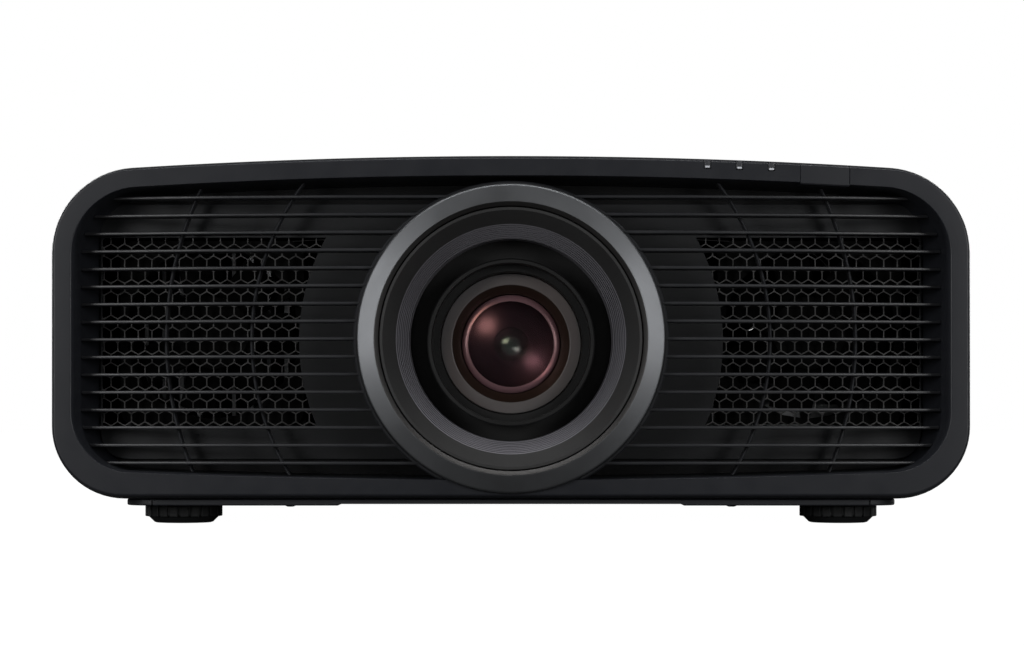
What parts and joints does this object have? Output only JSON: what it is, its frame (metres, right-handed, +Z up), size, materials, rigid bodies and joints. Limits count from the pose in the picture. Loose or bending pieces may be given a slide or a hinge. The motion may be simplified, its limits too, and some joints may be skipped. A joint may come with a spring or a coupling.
{
  "type": "home projector",
  "caption": "Home cinema projector with a rounded case, a slatted front grille over honeycomb mesh, a recessed shifting lens in a silver ring, and screw-in feet.",
  "frame": {"origin": "under the middle of the case, on the surface that the feet stand on", "axes": "+Z up, the lens and the grille face -Y, +X to the right as seen from the front"},
  "size_m": [0.45, 0.479, 0.181],
  "materials": {
    "satin_black": "satin moulded black, very fine grain",
    "matt_black": "matt black",
    "slat_black": "low-sheen black, fine grain",
    "trim_silver": "satin dark silver, fine turned finish",
    "foot_rubber": "matt rubber-coated",
    "sheet_steel": "zinc-plated sheet",
    "cast_aluminium": "plain satin",
    "anodised_black": "black anodised, fine turned",
    "coated_glass": "polished, purple and green coated",
    "light_guide": "clear with a frosted back",
    "smoked_window": "smoked, polished",
    "circuit_board": "green solder mask",
    "brass_gear": "machined",
    "filter_foam": "open-pored pad"
  },
  "bodies": {
    "case": {"bottom_case": "satin_black", "top_cover": "satin_black", "base_skirt": "matt_black", "front_bezel": "satin_black", "sensor_window_front": "smoked_window", "front_grille": "slat_black", "mesh_right": "slat_black", "mesh_left": "slat_black", "front_baffle": "matt_black", "lens_trim_ring": "trim_silver", "lens_funnel": "matt_black", "status_light_left": "light_guide", "status_light_middle": "light_guide", "status_light_right": "light_guide", "chassis_plate": "sheet_steel", "lens_mount": "sheet_steel", "optical_block": "matt_black", "prism": "coated_glass", "panel_red": "matt_black", "panel_green": "matt_black", "panel_blue": "matt_black", "laser_module": "cast_aluminium", "heat_sink": "cast_aluminium", "power_supply": "sheet_steel", "main_board": "circuit_board", "rear_panel": "satin_black", "terminal_panel": "sheet_steel", "ac_inlet": "matt_black", "sensor_window_rear": "smoked_window", "fan_frame_left": "matt_black", "fan_frame_right": "matt_black"},
    "shift_plate": {"shift_plate": "cast_aluminium"},
    "lens_carriage": {"lens_carriage": "cast_aluminium", "lens_barrel": "anodised_black", "lens_front_ring": "anodised_black", "front_lens": "coated_glass", "inner_lens": "coated_glass", "focus_motor": "sheet_steel", "zoom_motor": "sheet_steel"},
    "focus_ring": {"focus_ring": "matt_black"},
    "zoom_ring": {"zoom_ring": "matt_black"},
    "focus_pinion": {"focus_pinion": "brass_gear"},
    "zoom_pinion": {"zoom_pinion": "brass_gear"},
    "fan_rotor_left": {"fan_rotor_left": "matt_black"},
    "fan_rotor_right": {"fan_rotor_right": "matt_black"},
    "filter_cover": {"filter_cover": "satin_black", "air_filter": "filter_foam"},
    "foot_stud_front_left": {"foot_stud_front_left": "sheet_steel"},
    "foot_knob_front_left": {"foot_knob_front_left": "foot_rubber"},
    "foot_stud_front_right": {"foot_stud_front_right": "sheet_steel"},
    "foot_knob_front_right": {"foot_knob_front_right": "foot_rubber"},
    "foot_stud_rear_left": {"foot_stud_rear_left": "sheet_steel"},
    "foot_knob_rear_left": {"foot_knob_rear_left": "foot_rubber"},
    "foot_stud_rear_right": {"foot_stud_rear_right": "sheet_steel"},
    "foot_knob_rear_right": {"foot_knob_rear_right": "foot_rubber"},
    "key_power": {"key_power": "satin_black"},
    "key_input": {"key_input": "satin_black"},
    "key_menu": {"key_menu": "satin_black"},
    "key_back": {"key_back": "satin_black"},
    "key_ok": {"key_ok": "satin_black"}
  },
  "joints": [
    {"name": "lens_shift_up", "type": "slide", "parent": "case", "child": "shift_plate", "axis": [0, 0, 1], "range_m": [-0.0057, 0.0057]},
    {"name": "lens_shift_side", "type": "slide", "parent": "shift_plate", "child": "lens_carriage", "axis": [1, 0, 0], "range_m": [-0.0043, 0.0043]},
    {"name": "focus_turn", "type": "hinge", "parent": "lens_carriage", "child": "focus_ring", "pos_m": [0, -0.18, 0.0899], "axis": [0, 1, 0], "range_deg": [-50, 50]},
    {"name": "zoom_turn", "type": "hinge", "parent": "lens_carriage", "child": "zoom_ring", "pos_m": [0, -0.156, 0.0899], "axis": [0, 1, 0], "range_deg": [-40, 40]},
    {"name": "focus_pinion_turn", "type": "hinge", "parent": "lens_carriage", "child": "focus_pinion", "pos_m": [0.0355, -0.18, 0.13876], "axis": [0, 1, 0], "range_deg": [-205, 205]},
    {"name": "zoom_pinion_turn", "type": "hinge", "parent": "lens_carriage", "child": "zoom_pinion", "pos_m": [-0.0355, -0.156, 0.13876], "axis": [0, 1, 0], "range_deg": [-165, 165]},
    {"name": "fan_left_spin", "type": "hinge", "parent": "case", "child": "fan_rotor_left", "pos_m": [-0.15, -0.186, 0.0955], "axis": [0, 1, 0], "continuous": true},
    {"name": "fan_right_spin", "type": "hinge", "parent": "case", "child": "fan_rotor_right", "pos_m": [0.15, -0.186, 0.0955], "axis": [0, 1, 0], "continuous": true},
    {"name": "filter_pull", "type": "slide", "parent": "case", "child": "filter_cover", "axis": [0, 1, 0], "range_m": [0, 0.04]},
    {"name": "foot_front_left_travel", "type": "slide", "parent": "case", "child": "foot_stud_front_left", "axis": [0, 0, -1], "range_m": [0, 0.005]},
    {"name": "foot_front_left_turn", "type": "hinge", "parent": "foot_stud_front_left", "child": "foot_knob_front_left", "pos_m": [-0.1655, -0.187, 0.005], "axis": [0, 0, -1], "range_deg": [0, 1440]},
    {"name": "foot_front_right_travel", "type": "slide", "parent": "case", "child": "foot_stud_front_right", "axis": [0, 0, -1], "range_m": [0, 0.005]},
    {"name": "foot_front_right_turn", "type": "hinge", "parent": "foot_stud_front_right", "child": "foot_knob_front_right", "pos_m": [0.1655, -0.187, 0.005], "axis": [0, 0, -1], "range_deg": [0, 1440]},
    {"name": "foot_rear_left_travel", "type": "slide", "parent": "case", "child": "foot_stud_rear_left", "axis": [0, 0, -1], "range_m": [0, 0.005]},
    {"name": "foot_rear_left_turn", "type": "hinge", "parent": "foot_stud_rear_left", "child": "foot_knob_rear_left", "pos_m": [-0.1655, 0.187, 0.005], "axis": [0, 0, -1], "range_deg": [0, 1440]},
    {"name": "foot_rear_right_travel", "type": "slide", "parent": "case", "child": "foot_stud_rear_right", "axis": [0, 0, -1], "range_m": [0, 0.005]},
    {"name": "foot_rear_right_turn", "type": "hinge", "parent": "foot_stud_rear_right", "child": "foot_knob_rear_right", "pos_m": [0.1655, 0.187, 0.005], "axis": [0, 0, -1], "range_deg": [0, 1440]},
    {"name": "key_power_press", "type": "slide", "parent": "case", "child": "key_power", "axis": [0, -1, 0], "range_m": [0, 0.0008], "stiffness_N_per_m": 1200, "springref_m": -0.0005},
    {"name": "key_input_press", "type": "slide", "parent": "case", "child": "key_input", "axis": [0, -1, 0], "range_m": [0, 0.0008], "stiffness_N_per_m": 1200, "springref_m": -0.0005},
    {"name": "key_menu_press", "type": "slide", "parent": "case", "child": "key_menu", "axis": [0, -1, 0], "range_m": [0, 0.0008], "stiffness_N_per_m": 1200, "springref_m": -0.0005},
    {"name": "key_back_press", "type": "slide", "parent": "case", "child": "key_back", "axis": [0, -1, 0], "range_m": [0, 0.0008], "stiffness_N_per_m": 1200, "springref_m": -0.0005},
    {"name": "key_ok_press", "type": "slide", "parent": "case", "child": "key_ok", "axis": [0, -1, 0], "range_m": [0, 0.0008], "stiffness_N_per_m": 1200, "springref_m": -0.0005}
  ],
  "couplings": [
    {"joint": "focus_pinion_turn", "follows": "focus_turn", "ratio": -4},
    {"joint": "zoom_pinion_turn", "follows": "zoom_turn", "ratio": -4},
    {"joint": "foot_front_left_travel", "follows": "foot_front_left_turn", "m_per_rad": 0.00019894},
    {"joint": "foot_front_right_travel", "follows": "foot_front_right_turn", "m_per_rad": 0.00019894},
    {"joint": "foot_rear_left_travel", "follows": "foot_rear_left_turn", "m_per_rad": 0.00019894},
    {"joint": "foot_rear_right_travel", "follows": "foot_rear_right_turn", "m_per_rad": 0.00019894}
  ]
}
